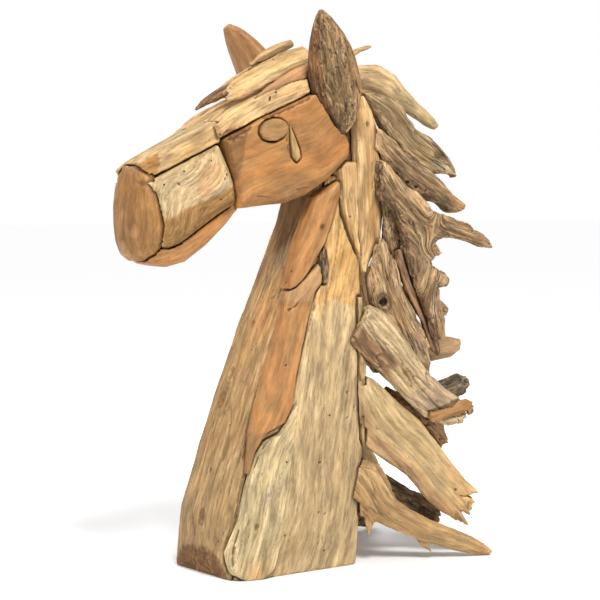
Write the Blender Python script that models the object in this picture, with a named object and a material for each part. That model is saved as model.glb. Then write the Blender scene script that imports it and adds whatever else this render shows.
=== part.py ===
"""Horse head and neck built of salvaged teak roots, planks and logs, standing on its sawn neck.

The horse looks along -X, its left side faces -Y, and the floor is z = 0.
Shapes are laid out in design millimetres for a sculpture 900 mm tall and scaled by HEIGHT.
"""
import math

import bpy
import bmesh
import numpy as np
from mathutils import Vector

# Driving sizes, in metres.
HEIGHT = 0.90           # floor to the tip of the left ear
GAP = 0.0003            # joint between two pieces that touch
EYE_GROOVE = 0.0013     # open groove round the eye plug
INLAY_GROOVE = 0.0010   # open groove round the teardrop inlay

# Driving sizes, in design millimetres.
MM = HEIGHT / 900.0
HALF_JOINT = GAP / MM / 2
SEAM_Y = 12.0           # joint between the left and right side logs, off the middle
LOG_TOP = 640.0         # where the two side logs stop and the nape block begins
EYE_SPOT = (-35.0, 711.0)  # x and z of the middle of the eye plug
EYE_LONG = 27.5         # half the length of the eye plug
EYE_TALL = 18.0         # half its height
EYE_TILT = math.radians(12)
EYE_SIDES = 12
THINNEST = 1.5          # least width and thickness of a tapered limb
LONGEST_MITRE = 1.6     # how far an outline's corner may move, as a share of its inset

# How scribed faces are cleaned.
FLAT = math.radians(0.1)  # faces within this angle are joined again
WELD = 0.00002          # corners within this distance, in metres, are one

# Finishes: colour as sRGB hex, roughness.
WOODS = {
    "sanded": ("c58f55", 0.55),
    "orange": ("c9843f", 0.55),
    "golden": ("cf9d5c", 0.55),
    "pale": ("dcc093", 0.75),
    "weathered": ("b8925f", 0.75),
    "grey": ("a58660", 0.85),
    "bark": ("6e5238", 0.9),
    "dark": ("7d5533", 0.8),
}

placed = []


def clear_scene():
    for item in list(bpy.data.objects):
        bpy.data.objects.remove(item, do_unlink=True)


def add_floor():
    """Nothing reaches below the floor: it is the first thing that pieces are scribed to."""
    slab_down = loft([[(-400, y, z) for y, z in ((-400, 0), (400, 0), (400, -100), (-400, -100))],
                      [(500, y, z) for y, z in ((-400, 0), (400, 0), (400, -100), (-400, -100))]])
    placed.append((slab_down, *box_of(slab_down), 0.0))


def chance(seed, a, b=0):
    """Repeatable number between -1 and 1."""
    value = math.sin(seed * 12.9898 + a * 78.233 + b * 37.719) * 43758.5453
    return 2 * (value - math.floor(value)) - 1


def loft(rings, fans=(False, False)):
    """Close a run of rings, in millimetres, with a flat or a fanned cap at each end."""
    count = len(rings[0])
    mesh = bmesh.new()
    rows = [[mesh.verts.new((x * MM, y * MM, z * MM)) for x, y, z in ring] for ring in rings]
    for low, high in zip(rows, rows[1:]):
        for side in range(count):
            after = (side + 1) % count
            mesh.faces.new((low[side], low[after], high[after], high[side]))
    for row, fan in ((rows[0], fans[0]), (rows[-1], fans[1])):
        if fan:
            hub = mesh.verts.new(sum((vert.co for vert in row), Vector()) / count)
            for side in range(count):
                mesh.faces.new((row[side], row[(side + 1) % count], hub))
        else:
            mesh.faces.new(row)
    bmesh.ops.recalc_face_normals(mesh, faces=mesh.faces)
    bmesh.ops.triangulate(mesh, faces=mesh.faces)
    return mesh


def through(stations, steps):
    """Pass a smooth curve through the stations, with steps spans between each two."""
    points = np.array(stations, float)
    points = np.vstack([2 * points[0] - points[1], points, 2 * points[-1] - points[-2]])
    curve = []
    for index in range(1, len(points) - 2):
        before, start, end, after = points[index - 1:index + 3]
        for share in np.arange(steps) / steps:
            curve.append(0.5 * (2 * start + (end - before) * share
                                + (2 * before - 5 * start + 4 * end - after) * share ** 2
                                + (3 * start - before - 3 * end + after) * share ** 3))
    curve.append(points[-2])
    return np.array(curve)


def limb(stations, face, sides=8, power=2.4, steps=1, rough=0.0, torn=0.0, seed=1, fans=(True, True)):
    """Sweep a rounded section along stations of x, y, z, width and thickness.

    The broad side of the section looks along face. Rough varies the radius, and torn
    pushes the last ring out and in along the run to make a broken end.
    """
    curve = through(stations, steps)
    route = curve[:, :3]
    heading = np.gradient(route, axis=0)
    rings = []
    for index, (spot, ahead) in enumerate(zip(route, heading)):
        ahead = ahead / np.linalg.norm(ahead)
        across = np.cross(ahead, face)
        across = across / np.linalg.norm(across)
        outward = np.cross(across, ahead)
        half_wide = max(curve[index, 3], THINNEST) / 2
        half_thick = max(curve[index, 4], THINNEST) / 2
        ring = []
        for side in range(sides):
            angle = 2 * math.pi * (side + 0.5) / sides
            flat, deep = math.cos(angle), math.sin(angle)
            flat = math.copysign(abs(flat) ** (2 / power), flat)
            deep = math.copysign(abs(deep) ** (2 / power), deep)
            swell = 1 + rough * chance(seed, index, side)
            point = spot + swell * (across * flat * half_wide + outward * deep * half_thick)
            if torn and index == len(route) - 1:
                point = point + ahead * torn * chance(seed + 0.5, side)
            ring.append(point)
        rings.append(ring)
    return loft(rings, fans)


def inset(outline, distance):
    """Move each side of an outline inwards by its own share of a distance."""
    count = len(outline)
    area = sum(outline[i][0] * outline[(i + 1) % count][1] - outline[(i + 1) % count][0] * outline[i][1]
               for i in range(count))
    turn = 1 if area > 0 else -1
    sides = []
    for start, end in zip(outline, outline[1:] + outline[:1]):
        run = np.array((end[0] - start[0], end[1] - start[1]), float)
        run = run / np.linalg.norm(run)
        share = start[2] if len(start) > 2 else 1.0
        sides.append((np.array((-run[1], run[0])) * turn, distance * share))
    moved = []
    for index, point in enumerate(outline):
        (first, near), (second, far) = sides[index - 1], sides[index]
        spread = first[0] * second[1] - first[1] * second[0]
        if abs(spread) < 0.25:
            step = (first + second) * (near + far) / 4
        else:
            step = np.array((near * second[1] - far * first[1], far * first[0] - near * second[0])) / spread
        longest = LONGEST_MITRE * max(near, far)
        if np.linalg.norm(step) > longest:
            step = step * longest / np.linalg.norm(step)
        moved.append((point[0] + step[0], point[1] + step[1]))
    return moved


def slab(outline, face, layers, back=None, thick=None):
    """Stack insets of a side view outline of x and z inwards from the outer face.

    Face is the height of the outer plane and its slopes along x and z. Each layer is a depth
    below that plane, an inset, and for a crowned face a share to shrink by. The inner side is
    the plane y = back, or lies thick below the face, or else it is the last layer.
    """
    def plane(x, z):
        return face[0] + face[1] * x + face[2] * z

    sign = 1 if face[0] < 0 else -1
    rings = []
    for depth, margin, *shrink in layers:
        rim = np.array(inset(outline, margin))
        if shrink:
            rim = rim + (rim.mean(axis=0) - rim) * shrink[0]
        rings.append([(x, plane(x, z) + sign * depth, z) for x, z in rim])
    inner = inset(outline, 0)
    if thick is not None:
        rings.append([(x, plane(x, z) + sign * thick, z) for x, z in inner])
    elif back is not None:
        rings.append([(x, back, z) for x, z in inner])
    return loft(rings)


def column(levels, sides, power, back_power=None):
    """Loft an upright column from levels of z, front x, back x and half width.

    A higher power squares the section off, and the back can have a power of its own.
    """
    rings = []
    for z, front, back, half in levels:
        middle, reach = (front + back) / 2, (back - front) / 2
        ring = []
        for side in range(sides):
            angle = 2 * math.pi * (side + 0.5) / sides
            along, across = math.cos(angle), math.sin(angle)
            bend = 2 / (back_power if back_power and along > 0 else power)
            ring.append((middle + reach * math.copysign(abs(along) ** bend, along),
                         half * math.copysign(abs(across) ** bend, across), z))
        rings.append(ring)
    return loft(rings)


def prism(outline, low, high):
    """Carry a side view outline straight through from y = low to y = high."""
    return loft([[(x, y, z) for x, z in outline] for y in (low, high)])


def mirrored(mesh):
    """Copy a piece across the middle of the head."""
    twin = mesh.copy()
    for vert in twin.verts:
        vert.co.y = -vert.co.y
    bmesh.ops.reverse_faces(twin, faces=twin.faces)
    return twin


def grown(mesh, distance):
    """Copy a piece with every face moved outwards."""
    bigger = mesh.copy()
    bigger.normal_update()
    moves = [vert.normal * min(vert.calc_shell_factor(), 3) * distance for vert in bigger.verts]
    for vert, move in zip(bigger.verts, moves):
        vert.co += move
    return bigger


def as_object(name, mesh):
    data = bpy.data.meshes.new(name)
    mesh.to_mesh(data)
    item = bpy.data.objects.new(name, data)
    bpy.context.scene.collection.objects.link(item)
    return item


def shape_with(body, tool_mesh, operation):
    """Apply one Boolean to an object and drop the tool."""
    tool = as_object("tool", tool_mesh)
    step = body.modifiers.new("shape", "BOOLEAN")
    step.operation = operation
    step.solver = "EXACT"
    step.object = tool
    bpy.context.view_layer.update()
    graph = bpy.context.evaluated_depsgraph_get()
    result = bpy.data.meshes.new_from_object(body.evaluated_get(graph))
    body.modifiers.remove(step)
    body.data = result
    bpy.data.objects.remove(tool, do_unlink=True)


def combined(first, second, operation):
    """Boolean of two meshes as a new mesh."""
    body = as_object("body", first)
    shape_with(body, second, operation)
    mesh = bmesh.new()
    mesh.from_mesh(body.data)
    bpy.data.objects.remove(body, do_unlink=True)
    return mesh


def largest_island(mesh):
    """Drop every loose part but the biggest."""
    left = set(mesh.verts)
    islands = []
    while left:
        front = [left.pop()]
        island = list(front)
        while front:
            vert = front.pop()
            for edge in vert.link_edges:
                other = edge.other_vert(vert)
                if other in left:
                    left.remove(other)
                    front.append(other)
                    island.append(other)
        islands.append(island)

    def size(island):
        spots = np.array([vert.co for vert in island])
        return np.prod(np.ptp(spots, axis=0))

    islands.sort(key=size)
    spare = [vert for island in islands[:-1] for vert in island]
    bmesh.ops.delete(mesh, geom=spare, context="VERTS")


def box_of(mesh):
    spots = np.array([vert.co for vert in mesh.verts])
    return spots.min(axis=0), spots.max(axis=0)


def place(name, mesh, wood, clear=GAP):
    """Add one piece, scribed to every piece placed before it."""
    item = as_object(name, mesh)
    low, high = box_of(mesh)
    for other, other_low, other_high, other_clear in placed:
        if np.all(low < other_high + other_clear) and np.all(other_low - other_clear < high):
            shape_with(item, grown(other, other_clear), "DIFFERENCE")
    placed.append((mesh, low, high, clear))
    shaped = bmesh.new()
    shaped.from_mesh(item.data)
    bmesh.ops.remove_doubles(shaped, verts=shaped.verts, dist=WELD)
    bmesh.ops.dissolve_degenerate(shaped, edges=shaped.edges, dist=WELD)
    largest_island(shaped)
    bmesh.ops.dissolve_limit(shaped, angle_limit=FLAT, verts=shaped.verts, edges=shaped.edges)
    loose = [edge for edge in shaped.edges if not edge.link_faces]
    bmesh.ops.delete(shaped, geom=loose, context="EDGES")
    bmesh.ops.triangulate(shaped, faces=shaped.faces)
    shaped.to_mesh(item.data)
    colour, roughness = WOODS[wood]
    finish = bpy.data.materials.new(name + "_wood")
    finish.use_nodes = True
    shader = finish.node_tree.nodes["Principled BSDF"]
    channels = [int(colour[i:i + 2], 16) / 255 for i in (0, 2, 4)]
    linear = [c / 12.92 if c <= 0.04045 else ((c + 0.055) / 1.055) ** 2.4 for c in channels]
    shader.inputs["Base Color"].default_value = (*linear, 1)
    shader.inputs["Roughness"].default_value = roughness
    shader.inputs["Metallic"].default_value = 0
    finish.diffuse_color = (*linear, 1)
    item.data.materials.clear()
    item.data.materials.append(finish)
    return item


def pair(name, mesh, wood, clear=GAP, behind=0.0, lower=0.0):
    """Place a piece on the left and its twin on the right, which may sit further back or lower."""
    place(name + "_left", mesh, wood, clear)
    twin = mirrored(mesh)
    for vert in twin.verts:
        vert.co.x += behind * MM
        vert.co.z -= lower * MM
    place(name + "_right", twin, wood, clear)


def on_plane(stations, base, slope, thick):
    """Turn stations of x, z and width into limb stations on an upright, flaring plane."""
    if not isinstance(thick, (list, tuple)):
        thick = (thick, thick)
    last = len(stations) - 1
    return [(x, base + slope * (x - 120), z, wide, thick[0] + (thick[1] - thick[0]) * index / last)
            for index, (x, z, wide) in enumerate(stations)]


def flare(stations, base, slope, thick, **options):
    """Limb in the near layer of the mane, its broad side facing out and a little forward."""
    return limb(on_plane(stations, base, slope, thick), (slope, -1.0, 0.0), **options)


def board(outline, base, slope, thick, arris=3.0):
    """Flat piece in the near layer of the mane, sawn to an outline and with its arrises worn off."""
    face = (base + slope * -120 - thick / 2, slope, 0)
    worn = [(0, arris), (arris, 0), (thick - arris, 0), (thick, 0.6 * arris)]
    return slab(outline, face, worn)


def eye_ring(y, share):
    """One ring of the eye plug, turned up towards the back."""
    ring = []
    for step in range(EYE_SIDES):
        angle = 2 * math.pi * step / EYE_SIDES
        along, up = share * EYE_LONG * math.cos(angle), share * EYE_TALL * math.sin(angle)
        ring.append((EYE_SPOT[0] + along * math.cos(EYE_TILT) - up * math.sin(EYE_TILT), y,
                     EYE_SPOT[1] + along * math.sin(EYE_TILT) + up * math.cos(EYE_TILT)))
    return ring


def build_eyes():
    plug = loft([eye_ring(-60, 0.96), eye_ring(-85, 1.0), eye_ring(-88, 0.9), eye_ring(-89.5, 0.6)],
                (False, True))
    pair("eye", plug, "golden", EYE_GROOVE)
    inlay = [(-6, 722), (4, 703), (14, 682), (17, 668), (9, 659), (-1, 668), (-4, 692)]
    wedge = slab(inlay, (-86.5, -0.02, 0), [(0, 1.5), (1.5, 0)], thick=20)
    pair("eye_corner", wedge, "weathered", INLAY_GROOVE)


def build_ears():
    left = limb([(97, -78, 704, 10, 10), (96, -84, 728, 50, 30), (84, -92, 768, 83, 42),
                 (71, -98, 799, 88, 42), (57, -106, 838, 75, 36), (40, -114, 876, 42, 26),
                 (29, -120, 899, 10, 10)],
                (-0.616, -0.788, 0), sides=8, power=2.2, steps=2)
    place("ear_left", left, "grey")
    right = limb([(92, 78, 704, 10, 10), (90, 84, 728, 54, 30), (77, 92, 768, 84, 42),
                  (62, 98, 799, 87, 44), (45, 106, 838, 76, 40), (20, 114, 874, 47, 28),
                  (5, 119, 892, 15, 12)],
                 (-0.95, -0.2, 0), sides=8, power=2.2, steps=2)
    place("ear_right", right, "orange")


def build_forelock():
    tilt = (-0.35, -0.62, 0.70)
    pale = limb([(-103, -42, 761, 18, 8), (-80, -40, 772, 34, 12), (-42, -37, 790, 46, 15),
                 (0, -35, 808, 52, 16), (35, -33, 822, 58, 17), (74, -32, 835, 54, 16)],
                tilt, sides=8, power=3, rough=0.05, seed=3)
    place("forelock_pale_left", pale, "weathered")
    red = limb([(-57, -66, 755, 12, 9), (-30, -65, 769, 26, 14), (0, -63, 785, 30, 15),
                (28, -61, 800, 28, 14), (60, -58, 815, 22, 12)],
               (-0.3, -0.85, 0.45), sides=7, power=3, rough=0.08, seed=5)
    place("forelock_red_left", red, "orange")
    strip = limb([(-136, -9, 742, 7, 6), (-118, -9, 754, 15, 10), (-93, -8, 767, 20, 12),
                  (-60, -6, 783, 22, 13), (-20, -4, 803, 22, 13), (30, 0, 826, 20, 12)],
                 (-0.45, -0.3, 0.84), sides=6, power=3, rough=0.05, seed=7)
    place("forelock_strip", strip, "dark")
    top = limb([(-16, 13, 820, 7, 8), (2, 12, 830, 17, 13), (22, 10, 841, 21, 15),
                (44, 8, 852, 21, 15), (60, 6, 859, 15, 12)],
               (-0.4, -0.4, 0.8), sides=7, power=2.6, rough=0.05, seed=9)
    place("forelock_top", top, "weathered")
    far = limb([(-96, 40, 754, 8, 7), (-66, 42, 768, 26, 12), (-30, 42, 788, 44, 15),
                (10, 40, 806, 54, 16), (48, 38, 820, 52, 16), (76, 36, 828, 40, 14)],
               (-0.35, 0.62, 0.70), sides=8, power=3, rough=0.06, seed=11)
    place("forelock_pale_right", far, "weathered")


def build_muzzle():
    nose = [(506, -247, -227, 20), (516, -257, -208, 38), (535, -261, -200, 51), (560, -262, -198, 58),
            (590, -262, -202, 58), (618, -260, -208, 53), (640, -256, -216, 44), (654, -251, -226, 30)]
    place("nose_block", column(nose, 14, 2.3), "orange")
    bridge = [(-252, 656, 0.5), (-238, 631, 0.3), (-180, 659, 0.3), (-120, 689, 0), (-112, 712, 0),
              (-124, 724, 0.8), (-184, 694, 0.8), (-238, 668, 0.8)]
    plank = slab(bridge, (-74, -0.12, 0), [(0, 5), (4, 0)], back=-HALF_JOINT)
    pair("nose_bridge", plank, "weathered", lower=10)
    side = [(-254, 628, 1), (-246, 600, 1), (-235, 560, 1), (-224, 527, 1), (-205, 523, 1.1),
            (-186, 530, 1.1), (-130, 570, 1.1), (-104, 587, 0.5), (-94, 600, 0.25), (-99, 632, 0.25),
            (-124, 688, 0.45), (-182, 660, 0.45), (-238, 635, 0.6)]
    crown = [(0, 9, 0.35), (4, 8, 0.12), (16, 3), (27, 0)]
    cheekbone = slab(side, (-94, -0.143, 0), crown, back=-HALF_JOINT)
    hollow = limb([(-186, -75, 608, 6, 4), (-168, -78, 618, 26, 15), (-147, -81, 631, 34, 20),
                   (-128, -84, 644, 24, 15), (-114, -86, 654, 6, 4)], (-0.14, -1, 0), sides=8)
    place("muzzle_left", combined(cheekbone, hollow, "DIFFERENCE"), "pale")
    place("muzzle_right", mirrored(cheekbone), "pale")
    jaw = limb([(-240, 0, 518, 44, 10), (-226, 0, 515, 80, 30), (-205, 0, 517, 102, 46),
                (-180, 0, 526, 112, 54), (-148, 0, 548, 118, 54), (-114, 0, 576, 122, 50),
                (-84, 0, 598, 122, 26)], (0, 0, -1), sides=8, power=3)
    place("lower_jaw", jaw, "sanded")


def build_cheeks():
    brow = [(-132, 716, 1), (-126, 696, 0.3), (-93, 711, 0.3), (-52, 731, 0.3), (-17, 746, 0.3),
            (45, 773, 0.3), (92, 788, 0), (92, 810, 1), (45, 797, 1), (2, 787, 1), (-36, 772, 1),
            (-63, 759, 1), (-95, 742, 1)]
    pair("brow", slab(brow, (-77, -0.03, 0), [(0, 6), (4, 0)], back=-8), "golden", lower=8)
    cheek = [(-118, 694, 0.1), (-58, 727, 0.1), (38, 768, 0.1), (72, 780, 0.2), (104, 712, 0.6),
             (117, 690, 0.8), (115, 668, 1), (74, 632, 1), (34, 608, 1), (-6, 595, 1), (-92, 587, 1.2),
             (-97, 622, 1), (-107, 656, 0.8)]
    pair("cheek", slab(cheek, (-85, -0.043, 0), [(0, 14), (5, 5), (15, 0)], back=-HALF_JOINT), "sanded")


NECK = [(0, -144, 126, 99), (100, -132, 135, 97), (200, -97, 141, 94), (290, -62, 142, 91),
        (400, -16, 138, 88), (480, 20, 142, 83), (560, 56, 150, 77), (LOG_TOP, 78, 155, 69)]
# Joint between the chest log and the side logs, by height: x and half width on the surface.
CHEST_JOINT = [(-10, -117, 82), (100, -92, 86), (200, -66, 81), (300, -34, 77), (400, -2, 68),
               (453, 14, 57), (500, 38, 62), (560, 62, 62), (LOG_TOP + 60, 100, 50)]
CHEST_DEEP = 52         # how much further back that joint runs at the middle of the neck
NAPE_SEAT = 0.4         # joint between the logs and the nape block on them
BEYOND = 220            # further out than the neck reaches on any side
TOE_WIDE = 140          # half the width that the saw cut at the toe is measured over
POST_FOOT = 104         # how far the front posts stand out from the middle, at the floor's height


def build_neck_face():
    """Proud boards and slivers fixed over the logs of the neck."""
    sliver = [(2, 276, 0.3), (-4, 237), (-14, 178), (-23, 115), (-37, 48), (-48, 12), (-66, 0, 0),
              (-97, 0), (-118, 14), (-125, 44), (-104, 92), (-90, 146), (-72, 199), (-58, 218),
              (-30, 229)]
    place("pale_sliver", slab(sliver, (-118, -0.212, 0.064), [(0, 3), (2, 1), (6, 0)], thick=19), "pale")
    strap = [(58, 605), (84, 622), (101, 633), (102, 618), (95, 592), (67, 527), (32, 478), (14, 460),
             (0, 455), (2, 472), (19, 520)]
    pair("throat_strap", slab(strap, (-149, -0.3, 0.158), [(0, 4), (3, 1.5), (8, 0)], thick=30), "orange",
         behind=40)
    chip = [(61, 532), (69, 521), (73, 496), (69, 466), (58, 464), (57, 500)]
    place("grey_chip", slab(chip, (-117, -0.02, 0.069), [(0, 2), (2, 0)], thick=17), "bark")
    strip = [(63, 505), (61, 468), (47, 452), (30, 404), (2, 305), (-7, 270), (-19, 245), (-50, 230),
             (-70, 202), (-88, 160), (-75, 226), (-43, 322), (-10, 408), (0, 455), (29, 473)]
    place("long_strip", slab(strip, (-137.5, -0.3, 0.1445), [(0, 3), (2, 1), (5, 0)], thick=24), "orange")
    front = [(100, 652), (112, 662), (131, 662, 0.2), (132, 600, 0.2), (132, 543, 0.2), (137, 499),
             (126, 523), (115, 548), (105, 576), (100, 610)]
    pair("post_front", slab(front, (-POST_FOOT, 0, 0.032), [(0, 3), (3, 1), (8, 0)], thick=38), "golden")
    back = limb(on_plane([(142, 770, 8), (150, 743, 38), (156, 715, 49), (161, 674, 58), (164, 625, 64),
                          (165, 575, 66), (162, 542, 60), (154, 514, 43), (149, 496, 25), (147, 481, 6)],
                         -66, 0, (34, 34)),
                (0.15, -1, 0), sides=8, power=2.6)
    pair("post_back", back, "golden")
    slat = [(127, 443), (139, 443), (145, 380), (145, 250), (141, 192), (132, 206)]
    place("edge_slat", slab(slat, (-96, 0, 0.014), [(0, 3), (3, 0)], thick=24), "weathered")


def build_neck_logs():
    """The sawn logs that carry everything and stand on the floor."""
    envelope = column(NECK, 16, 3.2, back_power=14)
    front = loft([[(-BEYOND, -BEYOND, z), (x, -BEYOND, z), (x, -half, z), (x + CHEST_DEEP, 0, z),
                   (x, half, z), (x, BEYOND, z), (-BEYOND, BEYOND, z)] for z, x, half in CHEST_JOINT])
    chest = combined(envelope, front, "INTERSECT")
    toe = loft([[(x, y, z) for x, z in ((foot + 22, -60), (-400, -60), (-400, 200), (foot - 75, 200))]
                for y, foot in ((-TOE_WIDE, -111), (TOE_WIDE, -131))])
    place("chest_log", combined(chest, toe, "DIFFERENCE"), "weathered")
    half = [(-BEYOND, -10), (BEYOND, -10), (BEYOND, LOG_TOP + 60), (-BEYOND, LOG_TOP + 60)]
    left = prism(half, -BEYOND, SEAM_Y - HALF_JOINT)
    right = prism(half, SEAM_Y + HALF_JOINT, BEYOND)
    place("side_log_left", combined(envelope, left, "INTERSECT"), "weathered")
    place("side_log_right", combined(envelope, right, "INTERSECT"), "weathered")
    nape = [(LOG_TOP + NAPE_SEAT, 106, 152, 66), (LOG_TOP + 60, 107, 157, 60),
            (LOG_TOP + 136, 108, 149, 46)]
    place("nape_block", column(nape, 8, 3.4), "dark")


def build_near_mane():
    """Layer of the mane that flares out on the left side."""
    crest = flare([(88, 800, 34), (140, 805, 38), (176, 805, 38), (202, 805, 44), (228, 793, 41),
                   (253, 775, 30), (285, 753, 23), (314, 735, 19), (333, 724, 13)],
                  -32, -0.05, (34, 10), rough=0.05, seed=21)
    place("mane_crest", crest, "pale")
    hooked = board([(148, 778), (188, 770), (215, 765), (227, 752), (234, 735), (251, 717), (278, 703),
                    (297, 689), (316, 670, 0.4), (330, 640, 0.4), (318, 647), (280, 647), (257, 657),
                    (234, 675), (219, 695), (200, 708), (184, 735), (168, 757)], -58, -0.15, 22)
    hollow = board([(280, 698), (284, 671), (300, 666), (317, 652), (313, 667), (296, 686)],
                   -84, -0.15, 40, 0.1)
    place("mane_hooked_plank", combined(hooked, hollow, "DIFFERENCE"), "grey")
    antler = board([(164, 664), (189, 642), (208, 622), (226, 611), (242, 594), (259, 578), (283, 572),
                    (327, 556, 0.5), (330, 549), (344, 544), (359, 532, 0.6), (368, 519, 0.6), (350, 524),
                    (330, 533), (297, 540), (274, 540), (261, 531), (267, 519, 0.3), (273, 511, 0.3),
                    (256, 506), (254, 495), (265, 458), (274, 425), (280, 397), (278, 366), (268, 368),
                    (256, 403), (243, 433), (228, 467), (215, 504), (208, 547), (197, 580), (184, 598),
                    (168, 602)], -88, -0.2, 24)
    knob = flare([(246, 480, 26), (266, 474, 28), (282, 466, 24), (292, 461, 15)], -82, -0.2, (22, 15),
                 sides=7, seed=26)
    place("mane_antler_root", combined(antler, knob, "UNION"), "grey")
    upper = board([(168, 722), (182, 712), (203, 696), (222, 678), (247, 662), (272, 649), (300, 626),
                   (320, 606), (342, 591), (334, 581), (312, 581), (294, 597), (270, 605), (245, 616),
                   (222, 633), (203, 656), (180, 674), (164, 684)], -64, -0.15, 25)
    place("mane_upper_plank", upper, "grey")
    log = flare([(129, 396, 74), (148, 384, 78), (170, 362, 74), (199, 328, 63), (226, 294, 57),
                 (260, 263, 57), (290, 247, 52), (312, 241, 34)],
                -84, -0.3, (40, 28), sides=9, power=2.3, rough=0.03, seed=28)
    place("mane_pale_log", log, "pale")
    knotty = flare([(176, 534, 7), (176, 507, 36), (182, 475, 61), (189, 443, 70), (207, 411, 66),
                    (228, 380, 60), (245, 350, 44), (256, 324, 24), (262, 306, 7)],
                   -72, -0.2, (34, 16), power=2.6, rough=0.06, seed=29)
    knothole = limb([(173, -124, 432, 11, 13), (173, -101, 432, 13, 15), (176, -78, 432, 10, 11)],
                    (0.2, 0, 1), sides=8, power=2)
    place("mane_knotty_log", combined(knotty, knothole, "DIFFERENCE"), "grey")
    broad = flare([(106, 294, 82), (138, 264, 88), (170, 230, 92), (211, 200, 90), (246, 164, 75),
                   (273, 128, 73), (297, 102, 66), (320, 84, 64), (334, 73, 56)],
                  -76, -0.3, (30, 16), sides=8, power=3, rough=0.03, torn=14, seed=30)
    splinter = flare([(148, 180, 14), (166, 156, 9), (188, 130, 2)], -82, -0.3, (10, 4), sides=5)
    broad = combined(broad, splinter, "UNION")
    for tip, mouth, width in (((306, 102), (352, 92), 22), ((316, 78), (356, 58), 13)):
        notch = flare([(*tip, 3), (*mouth, width)], -78, -0.3, (60, 60), sides=6, seed=width)
        broad = combined(broad, notch, "DIFFERENCE")
    place("mane_broad_plank", broad, "golden")
    foot = flare([(122, 127, 96), (142, 122, 100), (158, 104, 74), (180, 82, 46), (205, 67, 41),
                  (238, 49, 37), (275, 34, 35), (308, 21, 30), (331, 12, 19), (349, 5, 7)],
                 -80, -0.38, (38, 14), sides=7, power=2.5, rough=0.03, seed=31)
    claw = flare([(150, 88, 26), (147, 64, 14), (145, 44, 3)], -86, -0.38, (14, 4), sides=6)
    barb = flare([(226, 46, 22), (236, 28, 12), (250, 10, 3)], -84, -0.38, (12, 4), sides=5)
    for extra in (claw, barb):
        foot = combined(foot, extra, "UNION")
    place("mane_foot_branch", foot, "golden")


def build_inner_mane():
    """Knots, strips and stubs that show between and behind the near layer."""
    knot = flare([(180, 628, 14), (192, 596, 34), (202, 564, 42), (212, 537, 44), (222, 512, 38),
                  (234, 489, 25), (243, 466, 6)], -66, -0.12, (30, 14), sides=8, rough=0.06, seed=41)
    place("mane_grey_knot", knot, "bark")
    red = flare([(208, 516, 8), (217, 485, 30), (229, 453, 38), (247, 418, 34), (262, 388, 28),
                 (276, 358, 18), (285, 338, 5)], -76, -0.18, (20, 10), sides=7, rough=0.05, seed=42)
    place("mane_red_strip", red, "dark")
    inner = flare([(150, 164, 14), (176, 138, 30), (206, 114, 34), (236, 96, 38), (264, 79, 40),
                   (288, 64, 36), (306, 50, 16)], -50, -0.2, (26, 16), sides=7, rough=0.09, seed=43)
    place("mane_dark_root", inner, "bark")
    stubs = {
        "mane_stub_upper": ([(225, -30, 452, 20, 18), (262, -52, 438, 25, 22), (290, -62, 430, 25, 20),
                             (312, -68, 420, 22, 18), (329, -72, 408, 15, 12)], "grey"),
        "mane_stub_orange": ([(214, -30, 366, 24, 18), (262, -50, 350, 34, 22), (300, -64, 343, 41, 22),
                              (336, -73, 347, 36, 18), (358, -78, 353, 14, 10)], "orange"),
        "mane_gnarled_end": ([(226, -56, 258, 30, 24), (270, -86, 268, 36, 26), (302, -104, 276, 40, 26),
                              (325, -112, 286, 37, 24), (341, -116, 292, 18, 14)], "bark"),
        "mane_split_end": ([(246, -132, 240, 20, 18), (274, -140, 247, 27, 22), (298, -146, 252, 30, 22),
                            (316, -150, 253, 28, 18), (326, -152, 250, 14, 10)], "orange"),
        "mane_bark_stub": ([(200, -60, 272, 34, 26), (240, -90, 242, 42, 28), (270, -106, 212, 46, 26),
                            (288, -112, 186, 30, 18)], "bark"),
        "crest_twig": ([(120, 2, 816, 14, 12), (165, 0, 838, 13, 11), (195, 0, 853, 10, 9),
                        (212, 0, 859, 10, 9), (222, 0, 861, 6, 6)], "weathered"),
    }
    for seed, (name, (stations, wood)) in enumerate(stubs.items(), 51):
        place(name, limb(stations, (-0.2, -1, 0.1), sides=6, power=2.3, rough=0.06, seed=seed), wood)


def build_far_mane():
    """Plainer layer of the mane on the right side and along the middle."""
    far = {
        "mane_far_crest": ([(96, 793, 30), (150, 794, 40), (205, 790, 44), (250, 796, 32), (290, 803, 15)],
                           22, 0.04, (34, 12), "golden"),
        "mane_far_hook": ([(132, 758, 14), (170, 742, 40), (214, 704, 54), (262, 664, 46), (300, 634, 26),
                           (322, 618, 5)], 56, 0.16, (26, 12), "grey"),
        "mane_far_fork": ([(150, 664, 14), (190, 624, 46), (222, 578, 52), (246, 520, 42),
                           (262, 452, 32), (272, 390, 20), (276, 352, 5)], 52, 0.2, (30, 14), "weathered"),
        "mane_far_knotty": ([(146, 530, 16), (166, 480, 52), (190, 428, 62), (218, 378, 54),
                             (246, 330, 36), (262, 300, 8)], 18, 0.1, (44, 18), "grey"),
        "mane_far_log": ([(108, 396, 54), (144, 380, 66), (184, 336, 62), (226, 288, 54), (268, 252, 54),
                          (304, 236, 40), (322, 232, 14)], 66, 0.3, (46, 24), "pale"),
        "mane_far_plank": ([(106, 280, 80), (146, 248, 88), (196, 206, 86), (240, 158, 74),
                            (278, 112, 66), (308, 82, 54)], 44, 0.3, (38, 16), "golden"),
        "mane_far_root": ([(108, 104, 104), (150, 84, 96), (188, 56, 62), (232, 38, 44), (278, 24, 32),
                           (318, 10, 12)], 58, 0.36, (40, 14), "bark"),
    }
    for seed, (name, (stations, base, slope, thick, wood)) in enumerate(far.items(), 61):
        mesh = limb(on_plane(stations, base, slope, thick), (slope, 1.0, 0.0), sides=6, power=2.5,
                    rough=0.05, seed=seed)
        place(name, mesh, wood)


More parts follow.
